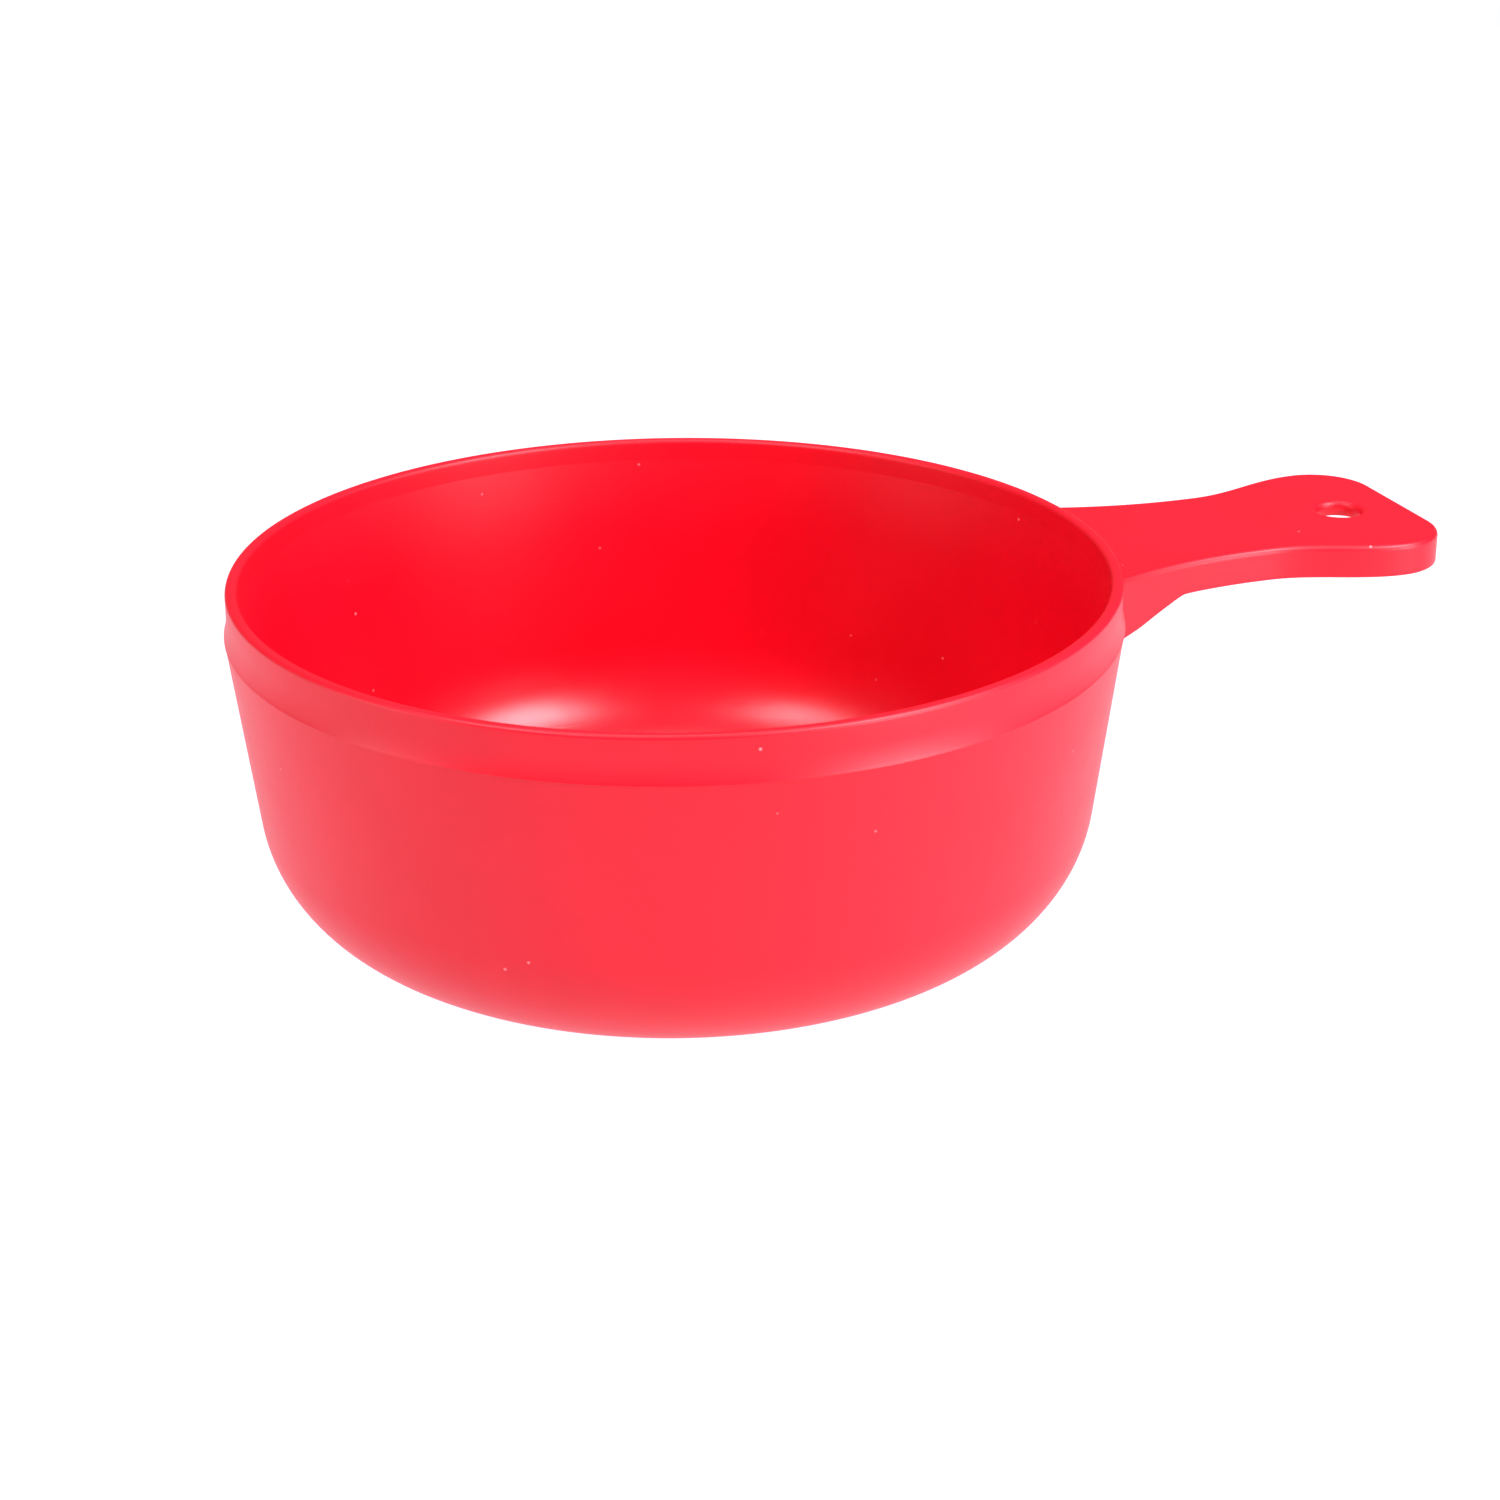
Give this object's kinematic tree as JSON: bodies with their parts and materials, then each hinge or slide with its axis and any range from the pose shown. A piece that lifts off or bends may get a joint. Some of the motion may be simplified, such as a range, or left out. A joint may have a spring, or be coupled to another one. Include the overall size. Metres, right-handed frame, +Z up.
{
  "type": "toy saucepan for sand",
  "caption": "Round open sand toy bowl shaped like a saucepan, with a flat one-sided channel handle and a hanging hole; it scoops, carries and moulds sand.",
  "frame": {"origin": "middle of the flat bottom, on the bowl's axis", "axes": "+Z up along the bowl's axis out of the mouth, +X along the handle away from the bowl, +Y to the handle's left seen from above"},
  "size_m": [0.2284, 0.1612, 0.065],
  "materials": {
    "red_plastic": "satin moulded polypropylene, slightly glossier inside"
  },
  "bodies": {
    "root": {"bowl_floor": "red_plastic", "bowl_wall": "red_plastic", "rim_collar": "red_plastic", "handle_top": "red_plastic", "handle_left_side": "red_plastic", "handle_right_side": "red_plastic", "handle_end": "red_plastic", "left_gusset": "red_plastic", "right_gusset": "red_plastic"}
  },
  "joints": []
}
